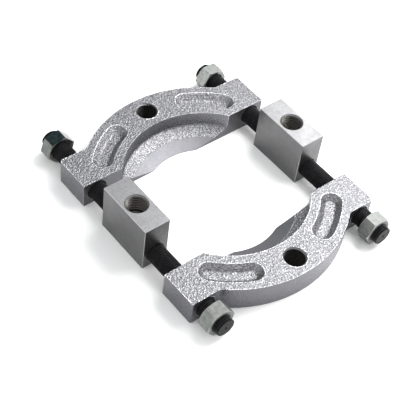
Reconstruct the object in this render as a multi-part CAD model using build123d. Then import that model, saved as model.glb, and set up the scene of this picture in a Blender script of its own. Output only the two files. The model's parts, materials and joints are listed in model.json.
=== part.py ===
"""Bearing separator: two half-ring jaws drawn together along two long threaded studs.

Each jaw is a casting with a drilled lug at either end and a knife-edged lip round its inside.
A stud passes through the two lugs on each side, with a hex nut outside each lug and a loose
tapped leg block between the lugs.

Frame, in millimetres: +X across the studs, +Y along the studs towards the rear jaw, +Z up.
The origin is on the surface that the tool lies on, under the middle of its outline.
In a jaw's own frame the parting face is the plane y = 0 and the casting lies on its +Y side.
"""
from build123d import *
from math import radians, sqrt, tan
import os

# Layout of the tool as it lies
stud_spacing = 356.0
stud_height = 28.2
stud_stagger = 3.65          # the left stud sits this far back of the middle, the right one forward
jaw_opening = 232.4          # between the two parting faces
jaw_middle = -7.4            # middle of the opening along Y
left_block_middle = -3.5
right_block_middle = 0.3

# Jaw casting
jaw_thickness = 52.0
jaw_half_length = 207.0
lug_depth = 76.0
ring_centre = -103.0         # every ring arc is struck from this point in front of the parting face
ring_outer_radius = 233.0
ring_inner_radius = 161.5
lug_corner_radius = 4.0
lug_root_radius = 14.0
top_edge_radius = 2.5
bottom_edge_radius = 1.5
stud_hole_radius = 20.0

# Knife lip round the inside of a jaw, from the sharp edge out to the wall
knife_radius = 114.0
knife_land = 1.0
machined_band_radius = 139.5
machined_band_height = 10.0
cast_band_height = 20.6
lip_root_radius = 6.0

# Long pockets cast into the top of a jaw, one each side of its leg hole
pocket_line_radius = 198.0
pocket_width = 39.0
pocket_depth = 12.0
pocket_draft = 42.0          # degrees that the pocket's wall leans back
pocket_from = 23.8           # first and last cap centre, in degrees off the jaw's middle line
pocket_to = 45.2
pocket_floor_radius = 5.0

# Tapped holes for the puller's legs
leg_hole_radius = 18.6
leg_hole_chamfer = 3.0
block_hole_depth = 40.0
drill_point_height = 7.0
drill_point_radius = 0.5

# Leg blocks
block_width = 52.0
block_length = 119.0
block_height = 96.0
block_bore_radius = 19.0
block_edge_chamfer = 0.8

# Studs and nuts
stud_radius = 18.0
stud_length = 514.0
stud_end_chamfer = 1.0
centre_mark_radius = 3.0
centre_mark_tip_radius = 0.2
centre_mark_depth = 2.5
nut_across_flats = 51.0
nut_thickness = 26.0
nut_clearance = 0.05
nut_face_share = 0.98        # diameter of a nut's flat face over its width across flats
nut_chamfer_angle = 20.0
nut_bore_chamfer = 1.5
nut_turns = {"rear_left": 12, "rear_right": -2, "front_left": 6, "front_right": -1}  # degrees, from +X to +Z
stud_protrusion = 12.0       # stud left standing past each nut

# Worked out from the above
stud_x = stud_spacing / 2
nut_corner_radius = nut_across_flats / sqrt(3)
nut_face_radius = nut_face_share * nut_across_flats / 2
rear_parting = jaw_middle + jaw_opening / 2
front_parting = jaw_middle - jaw_opening / 2
nut_offset = stud_length / 2 - stud_protrusion - nut_thickness / 2


def half_chord(radius, depth):
    """Half the chord of a ring arc along the line at this depth behind the parting face."""
    return sqrt(radius ** 2 - (depth - ring_centre) ** 2)


def jaw_plan():
    """Outline of the casting seen from above, out to the knife edge."""
    root = half_chord(ring_outer_radius, lug_depth)
    mouth = half_chord(knife_radius, 0)
    back = ring_centre + ring_outer_radius
    throat = ring_centre + knife_radius
    with BuildSketch() as plan:
        with BuildLine():
            Polyline((mouth, 0), (jaw_half_length, 0), (jaw_half_length, lug_depth), (root, lug_depth))
            ThreePointArc((root, lug_depth), (0, back), (-root, lug_depth))
            Polyline((-root, lug_depth), (-jaw_half_length, lug_depth), (-jaw_half_length, 0), (-mouth, 0))
            ThreePointArc((-mouth, 0), (0, throat), (mouth, 0))
        make_face()
    return plan.sketch


def bowl():
    """Turned tool for the space inside the wall and above the knife-edged lip."""
    above = jaw_thickness + 1
    with BuildSketch(Plane.XZ) as section:
        with BuildLine():
            Polyline((0, above), (ring_inner_radius, above), (ring_inner_radius, cast_band_height),
                     (machined_band_radius, machined_band_height), (knife_radius, knife_land),
                     (0, knife_land), (0, above))
        make_face()
        root = section.vertices().sort_by_distance((ring_inner_radius, 0, cast_band_height))[0]
        fillet(root, lip_root_radius)
    return Pos(0, ring_centre, 0) * revolve(section.sketch, Axis.Z)


def jaw_blank():
    """The casting before its holes and pockets, with its cast edges and corners rounded."""
    blank = extrude(jaw_plan(), jaw_thickness)
    root = half_chord(ring_outer_radius, lug_depth)
    for across, radius in ((jaw_half_length, lug_corner_radius), (root, lug_root_radius)):
        upright = blank.edges().filter_by(Axis.Z)
        corners = [e for e in upright if abs(abs(e.center().X) - across) < 1 and e.center().Y > 1]
        blank = fillet(corners, radius)
    blank -= bowl()
    under, top = (blank.faces().filter_by(Plane.XY).sort_by(Axis.Z)[i] for i in (0, -1))
    rim = [e for e in top.outer_wire().edges() if e.center().Y > 0.01]
    blank = fillet(rim, top_edge_radius)
    knife = ring_centre + knife_radius
    rim = [e for e in under.outer_wire().edges() if e.center().Y > knife + 1]
    return fillet(rim, bottom_edge_radius)


def pocket(side):
    """Tool for one kidney-shaped pocket; side is +1 for +X and -1 for -X."""
    span = pocket_to - pocket_from
    start = 90 - pocket_to if side > 0 else 90 + pocket_from
    with BuildSketch(Plane.XY.offset(jaw_thickness)) as plan:
        with BuildLine() as line:
            CenterArc((0, ring_centre), pocket_line_radius, start, span)
        SlotArc(line.wire(), pocket_width)
    tool = extrude(plan.sketch, -pocket_depth, taper=pocket_draft)
    floor = tool.faces().sort_by(Axis.Z)[0]
    return fillet(floor.outer_wire().edges(), pocket_floor_radius)


def jaw():
    """One half-ring casting in its own frame."""
    body = jaw_blank()
    for side in (-1, 1):
        body -= pocket(side)
        stud_hole = Cylinder(stud_hole_radius, 3 * lug_depth, rotation=(90, 0, 0))
        body -= Pos(side * stud_x, lug_depth / 2, stud_height) * stud_hole
    hole = through_thread_hole(jaw_thickness)
    return body - Pos(0, ring_centre + pocket_line_radius, 0) * hole


def through_thread_hole(height):
    """Tool for a tapped hole that runs right through, opened out at both faces."""
    mouth = leg_hole_radius + leg_hole_chamfer
    tool = Cylinder(leg_hole_radius, height, align=(Align.CENTER, Align.CENTER, Align.MIN))
    cone = Cone(mouth, leg_hole_radius, leg_hole_chamfer, align=(Align.CENTER, Align.CENTER, Align.MIN))
    return tool + cone + Pos(0, 0, height) * Rot(180, 0, 0) * cone


def leg_block():
    """A plain block bored for the stud, with a blind tapped hole in its top."""
    block = Box(block_width, block_length, block_height, align=(Align.CENTER, Align.CENTER, Align.MIN))
    block = chamfer(block.edges(), block_edge_chamfer)
    block -= Pos(0, 0, stud_height) * Cylinder(block_bore_radius, 2 * block_length, rotation=(90, 0, 0))
    mouth = leg_hole_radius + leg_hole_chamfer
    downward = (Align.CENTER, Align.CENTER, Align.MAX)
    hole = Cylinder(leg_hole_radius, block_hole_depth, align=downward)
    hole += Cone(leg_hole_radius, mouth, leg_hole_chamfer, align=downward)
    hole += Pos(0, 0, -block_hole_depth) * Cone(drill_point_radius, leg_hole_radius, drill_point_height,
                                                  align=downward)
    return block - Pos(0, 0, block_height) * hole


def stud():
    """A threaded rod along Y, drawn at its outside diameter, with a centre mark in each end."""
    rod = Cylinder(stud_radius, stud_length, rotation=(90, 0, 0))
    rod = chamfer(rod.edges().filter_by(GeomType.CIRCLE), stud_end_chamfer)
    upward = (Align.CENTER, Align.CENTER, Align.MIN)
    mark = Cone(centre_mark_radius, centre_mark_tip_radius, centre_mark_depth, align=upward)
    for turn in (90, -90):
        rod -= Rot(turn, 0, 0) * Pos(0, 0, -stud_length / 2) * mark
    return rod


def nut(turn):
    """A hex nut along Y with both faces chamfered, turned by this many degrees from +X to +Z."""
    half = nut_thickness / 2
    hexagon = RegularPolygon(nut_corner_radius, 6, rotation=turn)
    prism = extrude(Plane.XZ * hexagon, half, both=True)
    cone_drop = (nut_corner_radius - nut_face_radius) * tan(radians(nut_chamfer_angle))
    with BuildSketch(Plane.XY) as section:
        with BuildLine():
            Polyline((0, -half), (nut_face_radius, -half), (nut_corner_radius, cone_drop - half),
                     (nut_corner_radius, half - cone_drop), (nut_face_radius, half), (0, half), (0, -half))
        make_face()
    body = prism & revolve(section.sketch, Axis.Y)
    bore = Cylinder(stud_radius + nut_clearance, 2 * nut_thickness, rotation=(90, 0, 0))
    body -= bore
    mouths = [e for e in body.edges().filter_by(GeomType.CIRCLE) if e.radius < stud_radius + 1]
    return chamfer(mouths, nut_bore_chamfer)


def place(shape, x, y, z=0.0):
    """The shape moved to its place in the tool's frame."""
    return Pos(x, y, z) * shape


def build():
    """Every piece of the tool, by name."""
    pieces = {
        "rear_jaw": place(jaw(), 0, rear_parting),
        "front_jaw": place(Rot(0, 0, 180) * jaw(), 0, front_parting),
        "left_leg_block": place(leg_block(), -stud_x, left_block_middle),
        "right_leg_block": place(leg_block(), stud_x, right_block_middle),
    }
    for side, x, stagger in (("left", -stud_x, stud_stagger), ("right", stud_x, -stud_stagger)):
        pieces[f"{side}_stud"] = place(stud(), x, stagger, stud_height)
        for end, way in (("rear", 1), ("front", -1)):
            name, y = f"{end}_{side}", stagger + way * nut_offset
            pieces[f"{name}_nut"] = place(nut(nut_turns[name]), x, y, stud_height)
    return pieces


os.makedirs("parts", exist_ok=True)
for name, piece in build().items():
    export_step(piece, f"parts/{name}.step")
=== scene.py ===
"""Looks of the bearing separator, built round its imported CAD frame.

Lengths are in metres in the CAD model's frame: +X across the studs, +Y along them towards the
rear jaw, +Z up, with the tool lying on the floor at z = 0.
"""
import json
from math import cos, hypot, pi, radians, sin, tan

import bmesh
import bpy
import numpy as np
from mathutils import Matrix, Vector, noise
from mathutils.kdtree import KDTree

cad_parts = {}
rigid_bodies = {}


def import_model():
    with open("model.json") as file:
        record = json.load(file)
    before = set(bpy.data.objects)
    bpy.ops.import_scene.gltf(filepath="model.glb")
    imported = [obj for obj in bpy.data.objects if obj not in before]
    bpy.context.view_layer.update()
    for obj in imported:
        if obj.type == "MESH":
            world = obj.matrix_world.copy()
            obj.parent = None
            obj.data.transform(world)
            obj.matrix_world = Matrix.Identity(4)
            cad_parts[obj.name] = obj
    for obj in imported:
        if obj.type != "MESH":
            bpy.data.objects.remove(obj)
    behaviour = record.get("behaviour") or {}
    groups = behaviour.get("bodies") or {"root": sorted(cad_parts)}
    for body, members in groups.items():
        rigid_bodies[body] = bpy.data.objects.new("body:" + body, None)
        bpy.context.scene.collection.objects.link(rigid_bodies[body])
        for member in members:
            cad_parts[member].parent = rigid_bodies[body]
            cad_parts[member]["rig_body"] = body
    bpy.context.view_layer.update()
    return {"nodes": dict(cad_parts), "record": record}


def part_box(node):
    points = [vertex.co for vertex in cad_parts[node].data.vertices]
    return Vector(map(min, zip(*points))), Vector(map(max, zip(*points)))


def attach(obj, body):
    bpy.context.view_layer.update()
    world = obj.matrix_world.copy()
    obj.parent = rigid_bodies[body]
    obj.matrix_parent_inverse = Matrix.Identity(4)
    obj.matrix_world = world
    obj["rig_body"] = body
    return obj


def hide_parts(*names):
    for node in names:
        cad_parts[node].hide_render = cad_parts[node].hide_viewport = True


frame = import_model()

MM = 0.001
WELD = 0.001 * MM            # points nearer than this are one point
FLAT = radians(0.2)          # faces that turn less than this are one flat face
SHARP = radians(28)          # edges that turn more than this shade as sharp
SQUARE_ON = 0.99             # a face is square to an axis where its normal's share is above this
ALONG = 0.01                 # and it runs along the axis where the share is below this
MOSTLY = 0.5                 # a face is mostly level or mostly upright on either side of this share
LEANING = 0.1                # a face leans where more than one share is above this
MARGIN = 0.1 * MM            # faces this near a limit still count as inside it

# Places read from the frame
REAR_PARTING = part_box("rear_jaw")[0].y
FRONT_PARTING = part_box("front_jaw")[1].y
JAW_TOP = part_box("rear_jaw")[1].z
BLOCK_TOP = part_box("left_leg_block")[1].z
STUD_RADIUS = (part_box("left_stud")[1].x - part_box("left_stud")[0].x) / 2
MOUNTS = {m["name"]: m for m in frame["record"]["mounts"]}

# Jaw casting: radii are about the point that its ring arcs are struck from
RING_CENTRE = -103 * MM      # that point's depth behind the parting face
KNIFE_RADIUS = 114 * MM
MACHINED_RADIUS = 139.5 * MM
WALL_RADIUS = 161.5 * MM
OUTER_RADIUS = 233 * MM
KNIFE_LAND = 1 * MM          # height of the lip at its sharp edge
LIP_HEIGHT = 10 * MM         # height of the lip where its machined band ends
STUD_HOLE_RADIUS = 20 * MM
POCKET_INSET = 5 * MM        # the pockets keep at least this far inside the ring
POCKET_REACH = 20 * MM       # and end above this depth
FACET = 0.12 * MM            # how far the CAD's facets lie off their round surface

# Cast surface
GRID = 1.7 * MM              # mesh size where there is grain
LIP_GRID = 6 * MM            # mesh size on the machined lip
GRAIN = {"cast": 1.0, "wall": 0.45, "pocket": 1.0}   # roughness by region; the walls' lower share also gives them a darker tone, painted shade; the rest is machined
CAST_SHARP = radians(40)     # edges that turn more than this shade as sharp
EVENING = 2                  # times that the cut mesh is smoothed
SWELLS = ((24 * MM, 0.10), (7 * MM, 0.06))           # size, and depth in millimetres
GRAIN_SIZES = ((4.2 * MM, 1.0), (2.4 * MM, 0.5))     # size, and share of the grain's depth
GRAIN_DEPTH = 0.12           # millimetres
GRAIN_LIFT = 1.5             # keeps the grain inside the CAD's surface
EDGE_WEAR_AND_HIGHLIGHT_WIDTH = 2.4 * MM        # how far an edge's wear and its painted highlight reach
EDGE_WEAR_AND_HIGHLIGHT_ANGLE = radians(40)     # corners that turn more than this wear and get a painted highlight
PARTING_EDGE = 0.7 * MM      # worn rounding of the parting face's top edges
PARTING_SHORTEST = 5 * MM    # edges shorter than this belong to something else

# Studs; flats are shares of the pitch
STUD_PITCH = 4 * MM
STUD_ROOT = 15.55 * MM
STUD_CREST_FLAT = 1 / 8
STUD_ROOT_FLAT = 1 / 6
STUD_SIDES = 40
STUD_END_CHAMFER = 1 * MM
STUD_END_RIM = 0.4 * MM
CENTRE_MARK = 3 * MM
CENTRE_MARK_TIP = 0.3 * MM
CENTRE_MARK_DEPTH = 2.5 * MM

# Nuts
NUT_ACROSS = 51 * MM
NUT_PLAY = 0.12 * MM         # all round, between a nut's thread and the stud's
NUT_CORE = 15.9 * MM
NUT_MOUTH = 19.6 * MM
NUT_FACE = 0.98 * NUT_ACROSS / 2                     # radius of the flat face
NUT_CHAMFER = radians(20)
NUT_SHARP = radians(20)      # edges that turn more than this shade as sharp
NUT_TURNS = {"rear_left": 12, "rear_right": -2, "front_left": 6, "front_right": -1}
NUT_PLATING_AND_PAINTED_LIGHT = {             # brightness and roughness of each nut; the brightness paints light and shade on each nut, the rear-left one darkest
    "rear_left": (0.14, 0.16), "rear_right": (0.21, 0.24),
    "front_left": (0.19, 0.42), "front_right": (0.19, 0.54),
}
NUT_STEPS = (0, 1, 2.5, 5, 10, 17, 23.5, 30, 36.5, 43, 50, 55, 57.5, 59)   # degrees from a corner
CORNER_POWER = 200           # the higher, the sharper a nut's corners
THREAD_SLOPE = tan(radians(30))

# Leg holes
LEG_PITCH = 4.5 * MM
LEG_TAP_CORE = 17.6 * MM
LEG_TAP_CREST = 20.95 * MM
LEG_TAP_FLAT = 1 / 8         # a share of the pitch
LEG_TAP_SIDES = 64
LEG_WALL_RADIUS = 18.65 * MM # just outside the wall that the thread is cut in
LEG_MOUTH_RADIUS = 21.6 * MM
LEG_MOUTH_DEPTH = 3 * MM
LEG_MOUTH_FACING = 0.6       # the mouth's chamfer faces up by more than this share
BLOCK_TAP_DEPTH = 38 * MM

# Leg blocks: the slots of their finishes, and where the stud's bore can be
MILLED, EDGE, THREAD, PAINTED_LIGHT_TOP = range(4)
BORE_REACH = 20 * MM         # to either side
BORE_TOP = BLOCK_TOP / 2 + 2 * MM

# Finishes: tints are shares of red, green and blue
OIL_TINT = (1, 0.94, 0.86)
ZINC_TINT = (1, 1.04, 1)
ZINC_SHIFT = 0.1             # metres that the pattern moves from nut to nut
SAND_SIZE = 3.4 * MM         # coarse and fine grain of the castings, and their clouds of colour
SUGAR_SIZE = 1.7 * MM
CLOUD_SIZE = 32 * MM
SAND_DEPTH = 0.9 * MM        # height of the grain's bump
TURNING_PITCH = 0.9 * MM     # marks that turning left on the machined faces
TURNING_DEPTH = 0.012 * MM
RAGGED = 2.4                 # how far the grain breaks up the edges' wear and painted highlight

# Floor, lights and camera
FLOOR_HALF = 4
FLOOR_GAP = 0.1 * MM         # the floor is this far below the tool, so that the two never coincide
KEY_PLACE = (0.80, -0.03, 1.0)
KEY_SIZE = 1.1
KEY_RADIANCE = 8.1
SKY_LEVEL = 0.9
SKY_PATCHES = (              # azimuth, elevation, inner and outer radius in degrees, colour
    (62, 42, 12, 32, (0.25, 0.25, 0.265, 1)),
    (86, 52, 12, 24, (0.02, 0.11, 0.15, 1)),
    (-135, 40, 30, 75, (1.3, 1.3, 1.3, 1)),
    (152, 12, 10, 28, (2.4, 2.4, 2.4, 1)),
    (-58, 30, 5, 20, (2.2, 2.2, 2.2, 1)),
    (43, 37, 5, 15, (3.4, 3.4, 3.4, 1)),
)
CAMERA_AIM = (0, (REAR_PARTING + FRONT_PARTING) / 2, 0)
CAMERA_AZIMUTH = -134.817    # in degrees, from +X towards +Y
CAMERA_ELEVATION = 47.966
CAMERA_ROLL = radians(8.469)
CAMERA_DISTANCE = 1.9466
CAMERA_SLIDE = (-0.0254, -0.0014)                    # to the right and up
CAMERA_LENS = 96.13
CAMERA_SENSOR = 36


# ---------------------------------------------------------------- mesh tools

def new_object(name, data):
    """A new object in the scene, holding this mesh, light or camera."""
    piece = bpy.data.objects.new(name, data)
    bpy.context.scene.collection.objects.link(piece)
    return piece


def to_mesh(bm, name):
    """The bmesh as a mesh; the bmesh is freed."""
    mesh = bpy.data.meshes.new(name)
    bm.to_mesh(mesh)
    bm.free()
    return mesh


def shade_by_angle(bm, angle=SHARP):
    """Smooth faces, with the edges that turn more than the angle left sharp."""
    for face in bm.faces:
        face.smooth = True
    for edge in bm.edges:
        edge.smooth = edge.is_manifold and edge.calc_face_angle(0) < angle


def finish_piece(piece, node, finishes):
    """Gives a piece its materials and makes it stand for a CAD node, on that node's body."""
    source = frame["nodes"][node]
    for finish in finishes:
        piece.data.materials.append(finish)
    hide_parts(node)
    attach(piece, source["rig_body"])


def cad_copy(node):
    """A welded copy of a CAD node's surface, with its flat faces whole."""
    bm = bmesh.new()
    bm.from_mesh(frame["nodes"][node].data)
    bmesh.ops.remove_doubles(bm, verts=bm.verts, dist=WELD)
    bmesh.ops.dissolve_limit(bm, angle_limit=FLAT, verts=bm.verts, edges=bm.edges)
    return bm


def cut_planes(bm, faces, axis, places):
    """Cuts these faces along planes across one axis, and returns all that they become."""
    if not places or not faces:
        return faces
    middle = len(places) // 2
    point, normal = Vector(), Vector()
    point[axis], normal[axis] = places[middle], 1
    edges = {e for f in faces for e in f.edges}
    verts = {v for f in faces for v in f.verts}
    cut = bmesh.ops.bisect_plane(bm, geom=[*faces, *edges, *verts], dist=WELD,
                                 plane_co=point, plane_no=normal)
    faces = [g for g in cut["geom"] if isinstance(g, bmesh.types.BMFace)]
    low = [f for f in faces if f.calc_center_median()[axis] < places[middle]]
    high = [f for f in faces if f.calc_center_median()[axis] >= places[middle]]
    below, above = places[:middle], places[middle + 1:]
    return cut_planes(bm, low, axis, below) + cut_planes(bm, high, axis, above)


def grid_cut(bm, faces, step):
    """Cuts these faces into a mesh of about this size."""
    for axis in range(3):
        ends = [v.co[axis] for f in faces for v in f.verts]
        places = np.arange(min(ends) + step / 2, max(ends), step).tolist()
        faces = cut_planes(bm, faces, axis, places)


def thread_surface(bm, angles, pitch, profile, low, high, trim):
    """A right-hand thread about local Z from low to high.

    angles divide one turn. profile is the points (share of the pitch, radius) of one ridge, and
    trim(radius, z) cuts it back at the ends.
    """
    sides, points = len(angles), len(profile)
    first = int(np.floor(low / pitch)) - 1
    last = int(np.ceil(high / pitch)) + 1
    columns = []
    for column in range(first * sides, last * sides + 1):
        angle = angles[column % sides] + 2 * pi * (column // sides)
        here = []
        for share, radius in profile:
            z = min(max(pitch * (angle / (2 * pi) + share), low), high)
            r = trim(radius, z)
            here.append(bm.verts.new((r * cos(angle), r * sin(angle), z)))
        columns.append(here)
    for i in range(len(columns) - 1 - sides):
        near = columns[i] + columns[i + sides][:1]       # the ridge, and where the next begins
        far = columns[i + 1] + columns[i + sides + 1][:1]
        for j in range(points):
            bm.faces.new((near[j], far[j], far[j + 1], near[j + 1]))


def tidy_thread(bm):
    """Clears away what the trimmed ends of a thread leave behind."""
    bmesh.ops.remove_doubles(bm, verts=bm.verts, dist=WELD)
    bmesh.ops.dissolve_degenerate(bm, dist=WELD, edges=bm.edges)
    loose = [v for v in bm.verts if not v.link_faces]
    bmesh.ops.delete(bm, geom=loose, context="VERTS")


def close_end(bm, z, rings):
    """Carries the open edge at height z through rings of (radius, height) and closes it."""
    rim = [e for e in bm.edges if e.is_boundary and all(abs(v.co.z - z) < WELD for v in e.verts)]
    for radius, height in rings:
        grown = bmesh.ops.extrude_edge_only(bm, edges=rim)["geom"]
        for v in grown:
            if isinstance(v, bmesh.types.BMVert):
                v.co.xy = v.co.xy.normalized() * radius
                v.co.z = height
        rim = [e for e in grown if isinstance(e, bmesh.types.BMEdge) and e.is_boundary]
    bmesh.ops.edgeloop_fill(bm, edges=rim)


def even_angles(sides):
    """Angles that divide one turn evenly."""
    return [2 * pi * i / sides for i in range(sides)]


def along_y(x, z):
    """Takes local Z to world +Y, on an axis at this X and Z."""
    turn = Matrix(((1, 0, 0), (0, 0, 1), (0, -1, 0))).to_4x4()
    return Matrix.Translation((x, 0, z)) @ turn


def cut_away(piece, tool):
    """Takes the tool's shape out of the piece, and deletes the tool."""
    cut = piece.modifiers.new("cut", "BOOLEAN")
    cut.object, cut.solver = tool, "EXACT"
    graph = bpy.context.evaluated_depsgraph_get()
    mesh = bpy.data.meshes.new_from_object(piece.evaluated_get(graph))
    piece.modifiers.remove(cut)
    piece.data = mesh
    bpy.data.objects.remove(tool)


# ---------------------------------------------------------------- node tools

class Graph:
    """Fills one node tree."""

    def __init__(self, owner):
        owner.use_nodes = True
        self.tree = owner.node_tree
        self.tree.nodes.clear()

    def add(self, kind, inputs=None, **settings):
        """A new node with these inputs, each a value or another node's output."""
        node = self.tree.nodes.new(kind)
        for key, value in settings.items():
            setattr(node, key, value)
        for key, value in (inputs or {}).items():
            self.feed(node.inputs[key], value)
        return node

    def feed(self, socket, value):
        """Sets an input to a value, or links it to another node's output."""
        if isinstance(value, bpy.types.NodeSocket):
            self.tree.links.new(value, socket)
        else:
            socket.default_value = value

    def math(self, operation, a, b=0.0, c=0.0):
        """One step of arithmetic."""
        return self.add("ShaderNodeMath", {0: a, 1: b, 2: c}, operation=operation).outputs[0]

    def mix(self, factor, a, b):
        """A colour that goes from a to b."""
        node = self.add("ShaderNodeMix", data_type="RGBA")
        for index, value in ((0, factor), (6, a), (7, b)):
            self.feed(node.inputs[index], value)
        return node.outputs[2]

    def spread(self, value, low, high, to_low=0.0, to_high=1.0, smooth=True):
        """The value, taken from low..high to to_low..to_high and held there."""
        kind = "SMOOTHSTEP" if smooth else "LINEAR"
        node = self.add("ShaderNodeMapRange", {"Value": value, "From Min": low, "From Max": high,
                                               "To Min": to_low, "To Max": to_high},
                        interpolation_type=kind)
        return node.outputs[0]

    def place(self, scale=(1, 1, 1), offset=(0, 0, 0)):
        """The point's place on the piece, in metres, stretched and shifted."""
        here = self.add("ShaderNodeTexCoord").outputs["Object"]
        return self.add("ShaderNodeMapping", {"Vector": here, "Scale": scale,
                                              "Location": offset}).outputs[0]

    def noise(self, size, detail=2.0, rough=0.5, at=None):
        """Noise from 0 to 1 whose blotches are about this size."""
        inputs = {"Vector": at or self.place(), "Scale": 1 / size, "Detail": detail,
                  "Roughness": rough}
        return self.add("ShaderNodeTexNoise", inputs).outputs[0]

    def cells(self, size):
        """Distance to the nearest of scattered points, 0 to about 1."""
        inputs = {"Vector": self.place(), "Scale": 1 / size}
        return self.add("ShaderNodeTexVoronoi", inputs).outputs[0]

    def bump(self, height, depth, under=None):
        """A normal tilted as if height, 0 to 1, were this deep."""
        inputs = {"Height": height, "Distance": depth, "Strength": 1.0}
        if under:
            inputs["Normal"] = under
        return self.add("ShaderNodeBump", inputs).outputs[0]

    def attribute(self, name):
        """A number that the mesh keeps for each point or face."""
        return self.add("ShaderNodeAttribute", attribute_name=name).outputs["Fac"]

    def surface(self, inputs):
        """Ends the tree of a material with this surface."""
        shader = self.add("ShaderNodeBsdfPrincipled", inputs)
        self.add("ShaderNodeOutputMaterial", {"Surface": shader.outputs[0]})


def grey(level, blue=0.0):
    """A grey as a colour, with this share more blue."""
    return (level, level, level * (1 + blue), 1)


def tinted(level, tint):
    """A grey as a colour, with a tint given as a share for red, green and blue."""
    return (*(level * share for share in tint), 1)


def material(name):
    """A new material and its empty node tree."""
    made = bpy.data.materials.new(name)
    return made, Graph(made)


# ---------------------------------------------------------------- materials

def casting(name, ring_y):
    """Plated casting: sparkling grain as cast, turning marks where machined, and edges painted
    bright, partly as wear and partly as a painted highlight.

    ring_y is the Y of the point that the jaw's ring arcs are struck from.
    """
    made, g = material(name)
    grain = g.attribute("grain")
    machined = g.spread(grain, 0.0, 0.1, 1.0, 0.0)
    sand = g.noise(SAND_SIZE, 2.0, 0.55)
    sugar = g.noise(SUGAR_SIZE, 2.0, 0.6)
    cloud = g.noise(CLOUD_SIZE, 3.0, 0.55)
    relief = g.math("MULTIPLY_ADD", sugar, 0.45, g.math("MULTIPLY", sand, 0.55))
    pebbles = g.math("ADD", relief, g.math("MULTIPLY", g.cells(SAND_SIZE), -0.45))
    height = g.math("MULTIPLY", g.spread(pebbles, 0.05, 0.6, smooth=False), grain)
    cast_normal = g.bump(height, SAND_DEPTH)

    centre = g.place(offset=(0, -ring_y, 0))
    split = g.add("ShaderNodeSeparateXYZ", {0: centre})
    radius = g.math("SQRT", g.math("ADD", g.math("MULTIPLY", split.outputs[0], split.outputs[0]),
                                   g.math("MULTIPLY", split.outputs[1], split.outputs[1])))
    rings = g.math("SINE", g.math("MULTIPLY", radius, 2 * pi / TURNING_PITCH))
    marks = g.math("MULTIPLY", g.math("ADD", rings, g.noise(0.7 * MM, 2.0)), machined)
    normal = g.bump(marks, TURNING_DEPTH, cast_normal)

    above = g.math("SUBTRACT", relief, 0.5)
    near_edge = g.math("MULTIPLY_ADD", above, RAGGED, g.attribute("edge"))
    # edge wear together with a painted highlight: a lighter tone near outside corners, broken up by
    # the grain
    edge_wear_and_highlight = g.math("MULTIPLY", g.spread(near_edge, 0.4, 0.9), g.spread(grain, 0.1, 0.3))
    tone = g.mix(g.spread(pebbles, 0.12, 0.5), grey(0.12, 0.09), grey(0.325, 0.0))
    tone = g.mix(g.math("MULTIPLY", cloud, 0.4), tone, grey(0.20, 0.08))
    # painted shade: the upright walls get a darker tone than the cast tops
    tone = g.mix(g.spread(grain, 0.5, 0.9, 1.0, 0.0), tone, grey(0.16, 0.09))
    tone = g.mix(machined, tone, g.mix(cloud, grey(0.115, 0.08), grey(0.15, 0.06)))
    tone = g.mix(g.math("MULTIPLY", edge_wear_and_highlight, 0.55), tone, grey(0.7, 0.03))
    dull = g.spread(relief, 0.35, 0.65, 0.37, 0.24)
    dull = g.math("SUBTRACT", dull, g.math("MULTIPLY", edge_wear_and_highlight, 0.08))
    dull = g.math("MULTIPLY_ADD", machined, 0.17, dull)
    g.surface({"Base Color": tone, "Metallic": 0.9, "Roughness": dull, "Normal": normal})
    return made


def machined_steel(name, level, rough):
    """Machined steel with fine scratches along the block and faint stains; level sets how bright it
    is.
    """
    made, g = material(name)
    scratch = g.noise(0.5 * MM, 3.0, 0.6, g.place(scale=(1, 0.04, 1)))
    stain = g.noise(22 * MM, 4.0, 0.6)
    speck = g.noise(2.2 * MM, 2.0, 0.6)
    tone = g.mix(stain, grey(0.14 * level, 0.06), grey(0.19 * level))
    tone = g.mix(g.math("MULTIPLY", g.spread(speck, 0.4, 0.62), 0.5), tone, grey(0.24 * level))
    dull = g.spread(stain, 0.3, 0.7, rough, rough - 0.1)
    normal = g.bump(speck, 0.09 * MM, g.bump(scratch, 0.03 * MM))
    g.surface({"Base Color": tone, "Metallic": 0.95, "Roughness": dull, "Normal": normal})
    return made


def bright_edge(name):
    """Steel painted bright along an edge, partly as wear and partly as a painted highlight."""
    made, g = material(name)
    speck = g.noise(1.2 * MM, 2.0)
    g.surface({"Base Color": g.mix(speck, grey(0.24), grey(0.38)), "Metallic": 1.0,
               "Roughness": g.spread(speck, 0.3, 0.7, 0.2, 0.34),
               "Normal": g.bump(speck, 0.03 * MM)})
    return made


def cut_thread(name, level):
    """Bare cut steel in a tapped hole, with brown oil left in it."""
    made, g = material(name)
    oil = g.noise(5 * MM, 3.0, 0.6)
    tone = g.mix(oil, tinted(level * 0.2, OIL_TINT), tinted(level, OIL_TINT))
    dull = g.spread(oil, 0.3, 0.7, 0.24, 0.42)
    g.surface({"Base Color": tone, "Metallic": 0.9, "Roughness": dull,
               "Normal": g.bump(g.noise(0.8 * MM, 2.0), 0.02 * MM)})
    return made


def black_oxide(name):
    """Black oxide, rubbed a little brighter along the thread's crests."""
    made, g = material(name)
    crest = g.attribute("crest")
    patch = g.noise(7 * MM, 3.0, 0.6)
    rubbed = g.math("MULTIPLY", g.spread(crest, 0.8, 1.0), g.spread(patch, 0.35, 0.75))
    tone = g.mix(patch, grey(0.007, 0.1), grey(0.016, 0.08))
    tone = g.mix(g.math("MULTIPLY", rubbed, 0.4), tone, grey(0.07, 0.05))
    dull = g.spread(patch, 0.3, 0.7, 0.46, 0.36)
    g.surface({"Base Color": tone, "Metallic": 0.3, "Roughness": dull,
               "Specular IOR Level": 0.2, "Specular Tint": grey(0.4),
               "Normal": g.bump(g.noise(1.0 * MM, 2.0), 0.02 * MM)})
    return made


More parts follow.
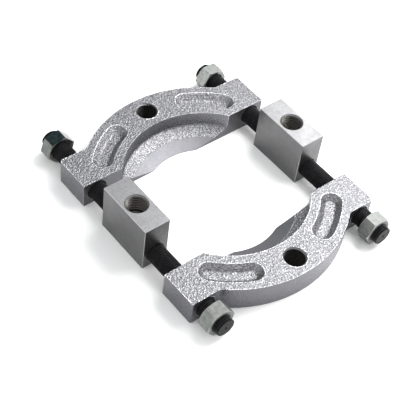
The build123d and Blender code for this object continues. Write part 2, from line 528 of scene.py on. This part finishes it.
def zinc(name, offset, level, rough):
    """Zinc plate with clouded, faintly green patches, which offset shifts from nut to nut."""
    made, g = material(name)
    at = g.place(offset=(offset, offset / 3, 0))
    cloud = g.noise(7 * MM, 4.0, 0.62, at)
    speck = g.noise(1.3 * MM, 3.0, 0.6, at)
    tone = g.mix(g.spread(cloud, 0.3, 0.7), tinted(level * 0.72, ZINC_TINT),
                 tinted(level * 1.15, ZINC_TINT))
    dull = g.spread(cloud, 0.3, 0.7, rough, rough + 0.1)
    g.surface({"Base Color": tone, "Metallic": 0.95, "Roughness": dull,
               "Normal": g.bump(speck, 0.02 * MM)})
    return made


# ---------------------------------------------------------------- studs and nuts

def stud_profile():
    """One ridge of the stud's thread."""
    flank = (1 - STUD_CREST_FLAT - STUD_ROOT_FLAT) / 2
    root = STUD_CREST_FLAT / 2 + flank
    return [(-STUD_CREST_FLAT / 2, STUD_RADIUS), (STUD_CREST_FLAT / 2, STUD_RADIUS),
            (root, STUD_ROOT), (root + STUD_ROOT_FLAT, STUD_ROOT)]


def nut_profile():
    """One groove of a nut's thread, standing clear of the stud's ridge all round."""
    def half_width(radius):
        return STUD_CREST_FLAT / 2 + (NUT_PLAY + (STUD_RADIUS - radius) * THREAD_SLOPE) / STUD_PITCH

    groove = STUD_RADIUS + NUT_PLAY
    at_groove, at_core = half_width(groove), half_width(NUT_CORE)
    return [(-at_groove, groove), (at_groove, groove), (at_core, NUT_CORE), (1 - at_core, NUT_CORE)]


def stud(side, finish):
    """A threaded rod with chamfered ends and a centre mark in each."""
    node = f"{side}_stud"
    low_corner, high_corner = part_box(node)
    low, high = low_corner.y, high_corner.y
    end_radius = STUD_RADIUS - STUD_END_CHAMFER

    def trim(radius, z):
        from_end = min(z - low, high - z)
        return min(max(radius, end_radius - from_end), end_radius + from_end)

    bm = bmesh.new()
    thread_surface(bm, even_angles(STUD_SIDES), STUD_PITCH, stud_profile(), low, high, trim)
    tidy_thread(bm)
    for z, inward in ((low, 1), (high, -1)):
        deep = z + inward * CENTRE_MARK_DEPTH
        rim = end_radius - STUD_END_RIM
        close_end(bm, z, [(rim, z), (CENTRE_MARK, z), (CENTRE_MARK_TIP, deep)])
    bmesh.ops.recalc_face_normals(bm, faces=bm.faces)
    shade_by_angle(bm)
    crest = bm.verts.layers.float.new("crest")
    for v in bm.verts:
        v[crest] = (hypot(v.co.x, v.co.y) - STUD_ROOT) / (STUD_RADIUS - STUD_ROOT)
    bm.transform(along_y((low_corner.x + high_corner.x) / 2, (low_corner.z + high_corner.z) / 2))
    finish_piece(new_object(f"{node}_rod", to_mesh(bm, node)), node, [finish])


def nut_angles(turn):
    """Angles round a nut, closer together near its corners."""
    degrees = sorted((60 * flat + step - turn) % 360 for flat in range(6) for step in NUT_STEPS)
    return [radians(angle) for angle in degrees]


def hexagon(angle, turn):
    """Radius of a nut's hexagon at this angle, its corners slightly rounded."""
    near = (angle + radians(turn)) % radians(60) - radians(30)
    sides = (cos(near), cos(radians(60) - abs(near)))
    return NUT_ACROSS / 2 / sum(s ** CORNER_POWER for s in sides) ** (1 / CORNER_POWER)


def nut(corner, finishes):
    """A hex nut, chamfered both ways, with its thread in step with the stud's."""
    node = f"{corner}_nut"
    low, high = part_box(node)[0].y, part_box(node)[1].y
    stud_low, stud_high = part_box(f"{corner.split('_')[1]}_stud")
    turn = NUT_TURNS[corner]
    angles = nut_angles(turn)
    count = len(angles)

    def trim(radius, z):
        return max(radius, NUT_MOUTH - min(z - low, high - z))

    bm = bmesh.new()
    thread_surface(bm, angles, STUD_PITCH, nut_profile(), low, high, trim)
    outline = [hexagon(a, turn) for a in angles]
    rings = [[(NUT_MOUTH, low)] * count, [(NUT_FACE, low)] * count,
             [(r, low + (r - NUT_FACE) * tan(NUT_CHAMFER)) for r in outline],
             [(r, high - (r - NUT_FACE) * tan(NUT_CHAMFER)) for r in outline],
             [(NUT_FACE, high)] * count, [(NUT_MOUTH, high)] * count]
    made = [[bm.verts.new((r * cos(a), r * sin(a), z)) for (r, z), a in zip(ring, angles)]
            for ring in rings]
    for band, (near, far) in enumerate(zip(made, made[1:])):
        for i in range(count):
            j = (i + 1) % count
            is_chamfer = band in (1, 3)
            bm.faces.new((near[i], near[j], far[j], far[i])).material_index = int(is_chamfer)
    tidy_thread(bm)
    bmesh.ops.recalc_face_normals(bm, faces=bm.faces)
    shade_by_angle(bm, NUT_SHARP)
    bm.transform(along_y((stud_low.x + stud_high.x) / 2, (stud_low.z + stud_high.z) / 2))
    finish_piece(new_object(f"{node}_hex", to_mesh(bm, node)), node, finishes)


# ---------------------------------------------------------------- tapped holes

def tap(mount, low, high):
    """A closed tool for the thread of one leg hole, tapered at both ends."""
    def trim(radius, z):
        return min(radius, LEG_TAP_CORE + min(z - low, high - z))

    half_flat = LEG_TAP_FLAT / 2
    profile = [(-half_flat, LEG_TAP_CREST), (half_flat, LEG_TAP_CREST), (1 / 2, LEG_TAP_CORE)]
    bm = bmesh.new()
    thread_surface(bm, even_angles(LEG_TAP_SIDES), LEG_PITCH, profile, low, high, trim)
    tidy_thread(bm)
    for z in (low, high):
        close_end(bm, z, [])
    bmesh.ops.recalc_face_normals(bm, faces=bm.faces)
    x, y, _ = MOUNTS[mount]["pos_m"]
    bm.transform(Matrix.Translation((x, y, 0)))
    return new_object(f"{mount}_tap", to_mesh(bm, f"{mount}_tap"))


# ---------------------------------------------------------------- leg blocks

def block_finish(face, x, y):
    """The slot of the finish that a face of a leg block has; its leg hole is at x, y."""
    middle, normal = face.calc_center_median(), face.normal
    from_hole = hypot(middle.x - x, middle.y - y)
    leaning = sum(abs(share) > LEANING for share in normal) > 1
    if from_hole < LEG_MOUTH_RADIUS and middle.z < BLOCK_TOP - WELD:
        high_up = middle.z > BLOCK_TOP - LEG_MOUTH_DEPTH - MARGIN
        in_mouth = high_up and from_hole > LEG_WALL_RADIUS and normal.z > LEG_MOUTH_FACING
        return MILLED if in_mouth else THREAD
    if leaning and from_hole > LEG_MOUTH_RADIUS:
        in_bore = middle.z < BORE_TOP and abs(middle.x - x) < BORE_REACH
        return THREAD if in_bore and abs(normal.y) < ALONG else EDGE
    return PAINTED_LIGHT_TOP if normal.z > SQUARE_ON and middle.z > BLOCK_TOP - WELD else MILLED


def leg_block(side, finishes):
    """A machined block, its leg hole really tapped, its top painted lighter than its sides."""
    node = f"{side}_leg_block"
    piece = new_object(f"{node}_body", to_mesh(cad_copy(node), node))
    mount = f"{side}_leg_thread"
    x, y, _ = MOUNTS[mount]["pos_m"]
    cut_away(piece, tap(mount, BLOCK_TOP - BLOCK_TAP_DEPTH, BLOCK_TOP + LEG_PITCH))
    bm = bmesh.new()
    bm.from_mesh(piece.data)
    for face in bm.faces:
        face.material_index = block_finish(face, x, y)
    shade_by_angle(bm)
    bm.to_mesh(piece.data)
    bm.free()
    finish_piece(piece, node, finishes)


# ---------------------------------------------------------------- jaws

def soften_parting_edges(bm):
    """Rounds the straight top edges of the parting face."""
    edges = []
    for edge in bm.edges:
        on_line = all(abs(v.co.y - REAR_PARTING) < WELD and abs(v.co.z - JAW_TOP) < WELD
                      for v in edge.verts)
        if on_line and edge.calc_length() > PARTING_SHORTEST:
            edges.append(edge)
    bmesh.ops.bevel(bm, geom=edges, offset=PARTING_EDGE, offset_type="OFFSET", segments=3,
                    profile=0.5, affect="EDGES", clamp_overlap=True)


def read_region(face):
    """What part of the rear jaw a face belongs to."""
    middle, normal = face.calc_center_median(), face.normal
    depth = middle.y - REAR_PARTING
    radius = hypot(middle.x, depth - RING_CENTRE)
    x, y, _ = MOUNTS["rear_leg_thread"]["pos_m"]
    low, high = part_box("left_stud")
    from_stud = hypot(abs(middle.x) - abs(low.x + high.x) / 2, middle.z - (low.z + high.z) / 2)
    if hypot(middle.x - x, middle.y - y) < LEG_MOUTH_RADIUS:
        return "leg hole"
    if radius < MACHINED_RADIUS and middle.z < LIP_HEIGHT + MM and normal.z > MOSTLY:
        return "lip"
    if from_stud < STUD_HOLE_RADIUS + MARGIN and abs(normal.y) < MOSTLY:
        return "stud hole"
    at_parting = depth < WELD and normal.y < -SQUARE_ON
    if radius < KNIFE_RADIUS + MM or normal.z < -SQUARE_ON or at_parting:
        return "flat"
    inside_ring = WALL_RADIUS + POCKET_INSET < radius < OUTER_RADIUS - POCKET_INSET
    if inside_ring and JAW_TOP - POCKET_REACH < middle.z < JAW_TOP - MM:
        return "pocket"
    return "wall" if abs(normal.z) < MOSTLY else "cast"


def true_up(v):
    """Moves a point of the rear jaw from the CAD's facets to the surface that they stand for."""
    across, depth = v.co.x, v.co.y - REAR_PARTING - RING_CENTRE
    radius = hypot(across, depth)
    for wall in (WALL_RADIUS, OUTER_RADIUS):
        if abs(radius - wall) < FACET:
            v.co.x *= wall / radius
            v.co.y += depth * (wall / radius - 1)
    rise = (LIP_HEIGHT - KNIFE_LAND) / (MACHINED_RADIUS - KNIFE_RADIUS)
    lip = KNIFE_LAND + (radius - KNIFE_RADIUS) * rise
    if KNIFE_RADIUS < radius < MACHINED_RADIUS and abs(v.co.z - lip) < FACET:
        v.co.z = lip


def mark_edges(bm):
    """Stores how near each point is to an outside corner, where the casting's plating wears and a
    highlight is painted.
    """
    near = bm.verts.layers.float.new("edge")
    corners = [e for e in bm.edges
               if e.is_manifold and e.is_convex and e.calc_face_angle() > EDGE_WEAR_AND_HIGHLIGHT_ANGLE]
    tree = KDTree(2 * len(corners))
    for index, v in enumerate(v for e in corners for v in e.verts):
        tree.insert(v.co, index)
    tree.balance()
    for v in bm.verts:
        distance = tree.find(v.co)[2]
        v[near] = max(0, 1 - distance / EDGE_WEAR_AND_HIGHLIGHT_WIDTH)


def jaw_blank():
    """The rear jaw's surface, its cast faces meshed finely enough to carry their grain."""
    bm = cad_copy("rear_jaw")
    soften_parting_edges(bm)
    draft = new_object("draft", to_mesh(bm, "draft"))
    cut_away(draft, tap("rear_leg_thread", -LEG_PITCH, JAW_TOP + LEG_PITCH))
    bm = bmesh.new()
    bm.from_mesh(draft.data)
    bpy.data.objects.remove(draft)
    layer = bm.faces.layers.float.new("grain")
    regions = {}
    for face in bm.faces:
        region = read_region(face)
        regions.setdefault(region, []).append(face)
        face[layer] = GRAIN.get(region, 0.0)
        below_mouth = face.calc_center_median().z < JAW_TOP - LEG_MOUTH_DEPTH
        face.material_index = int(region == "leg hole" and below_mouth)
    grid_cut(bm, regions["lip"], LIP_GRID)
    grid_cut(bm, [face for region in GRAIN for face in regions[region]], GRID)
    for v in bm.verts:
        true_up(v)
    mark_edges(bm)
    grainy = [v for v in bm.verts if all(f[layer] for f in v.link_faces)]
    for _ in range(EVENING):
        bmesh.ops.smooth_vert(bm, verts=grainy, factor=0.5,
                              use_axis_x=True, use_axis_y=True, use_axis_z=True)
    return bm


def unevenness(place, grain):
    """How far the cast surface lies in from its CAD face here."""
    swell = sum(depth * (1 + noise.noise(place / size)) for size, depth in SWELLS)
    fine = sum(share * noise.noise(place / size) for size, share in GRAIN_SIZES)
    return max(swell + GRAIN_DEPTH * grain * (GRAIN_LIFT + fine), 0) * MM


def jaw(node, blank, turn, finishes):
    """One jaw: the blank put in place, with its cast faces made uneven."""
    bm = blank.copy()
    bm.transform(turn)
    bm.normal_update()
    layer = bm.faces.layers.float["grain"]
    moves = {}
    for v in bm.verts:
        around = [f[layer] for f in v.link_faces]
        if all(around):
            moves[v] = v.normal * unevenness(v.co, sum(around) / len(around))
    for v, move in moves.items():
        v.co -= move
    shade_by_angle(bm, CAST_SHARP)
    for edge in bm.edges:
        cast_sides = {f[layer] > 0 for f in edge.link_faces}
        if len(cast_sides) > 1:
            edge.smooth = False
    finish_piece(new_object(f"{node}_casting", to_mesh(bm, node)), node, finishes)


# ---------------------------------------------------------------- the tool

milled = machined_steel("milled_steel", level=0.75, rough=0.4)
# painted light: the blocks' tops get a brighter copy of the same steel than their sides
painted_light_top = machined_steel("top_steel_painted_light", level=1.2, rough=0.56)
block_thread = cut_thread("block_thread", level=0.14)
# painted shade: the jaws' tapped holes get the same cut steel as the blocks', made nearly black
jaw_thread_painted_shade = cut_thread("jaw_thread_painted_shade", level=0.02)
# the blocks' chamfers: bright as wear and as a painted highlight
block_edge_wear_and_highlight = bright_edge("bright_edge")
oxide = black_oxide("black_oxide")

blank = jaw_blank()
half_turn = Matrix.Translation((0, REAR_PARTING + FRONT_PARTING, 0)) @ Matrix.Rotation(pi, 4, "Z")
for node, turn, ring_y in (("rear_jaw", Matrix(), REAR_PARTING + RING_CENTRE),
                           ("front_jaw", half_turn, FRONT_PARTING - RING_CENTRE)):
    jaw(node, blank, turn, [casting(f"{node}_casting", ring_y), jaw_thread_painted_shade])
blank.free()

for side in ("left", "right"):
    stud(side, oxide)
    leg_block(side, [milled, block_edge_wear_and_highlight, block_thread, painted_light_top])
# painted highlight: the nuts' chamfers get a brighter zinc than their flats
chamfer_highlight = zinc("zinc_chamfer_painted_highlight", offset=0.0, level=0.3, rough=0.3)
# each nut's own brightness is painted light and shade
for order, (corner, (level, rough)) in enumerate(NUT_PLATING_AND_PAINTED_LIGHT.items()):
    nut(corner, [zinc(f"{corner}_zinc", ZINC_SHIFT * order, level, rough), chamfer_highlight])


# ---------------------------------------------------------------- floor, lights and camera

def direction(azimuth, elevation):
    """Unit vector at these angles, in degrees: azimuth from +X towards +Y."""
    a, e = radians(azimuth), radians(elevation)
    return Vector((cos(a) * cos(e), sin(a) * cos(e), sin(e)))


def floor():
    """A pale paper floor."""
    bm = bmesh.new()
    bmesh.ops.create_grid(bm, x_segments=4, y_segments=4, size=FLOOR_HALF)
    bmesh.ops.translate(bm, verts=bm.verts, vec=(0, 0, -FLOOR_GAP))
    piece = new_object("floor", to_mesh(bm, "floor"))
    made, g = material("floor_paper")
    tone = g.mix(g.noise(0.3), grey(0.86), grey(0.9))
    g.surface({"Base Color": tone, "Roughness": 0.9, "Specular IOR Level": 0.1})
    piece.data.materials.append(made)


def softbox(name, at, toward, size, radiance):
    """A square area light at a place, facing another."""
    light = bpy.data.lights.new(name, "AREA")
    light.shape, light.size = "SQUARE", size
    light.energy = radiance * pi * size ** 2
    lamp = new_object(name, light)
    lamp.location = at
    lamp.rotation_euler = (Vector(toward) - Vector(at)).to_track_quat("-Z", "Y").to_euler()


def sky():
    """Pale surroundings, with brighter and darker parts."""
    world = bpy.data.worlds.new("studio")
    bpy.context.scene.world = world
    g = Graph(world)
    looking = g.add("ShaderNodeTexCoord").outputs["Generated"]
    tone = grey(SKY_LEVEL)
    for azimuth, elevation, inner, outer, colour in SKY_PATCHES:
        facing = g.add("ShaderNodeVectorMath", {0: looking, 1: direction(azimuth, elevation)},
                       operation="DOT_PRODUCT").outputs["Value"]
        tone = g.mix(g.spread(facing, cos(radians(outer)), cos(radians(inner))), tone, colour)
    background = g.add("ShaderNodeBackground", {"Color": tone, "Strength": 1.0})
    g.add("ShaderNodeOutputWorld", {"Surface": background.outputs[0]})


def camera():
    """The camera, looking down at the tool from its front left."""
    back, roll = direction(CAMERA_AZIMUTH, CAMERA_ELEVATION), CAMERA_ROLL
    right = Vector((0, 0, 1)).cross(back).normalized()
    up = back.cross(right)
    turned = cos(roll) * right + sin(roll) * up
    above = cos(roll) * up - sin(roll) * right
    eye = Vector(CAMERA_AIM) + back * CAMERA_DISTANCE
    eye = eye + turned * CAMERA_SLIDE[0] + above * CAMERA_SLIDE[1]
    made = bpy.data.cameras.new("camera")
    made.lens, made.sensor_width = CAMERA_LENS, CAMERA_SENSOR
    holder = new_object("camera", made)
    holder.matrix_world = Matrix((turned, above, back)).transposed().to_4x4()
    holder.location = eye
    bpy.context.scene.camera = holder


floor()
softbox("key", KEY_PLACE, (0, 0, 0), KEY_SIZE, KEY_RADIANCE)
sky()
camera()
bpy.context.scene.view_settings.view_transform = "Standard"
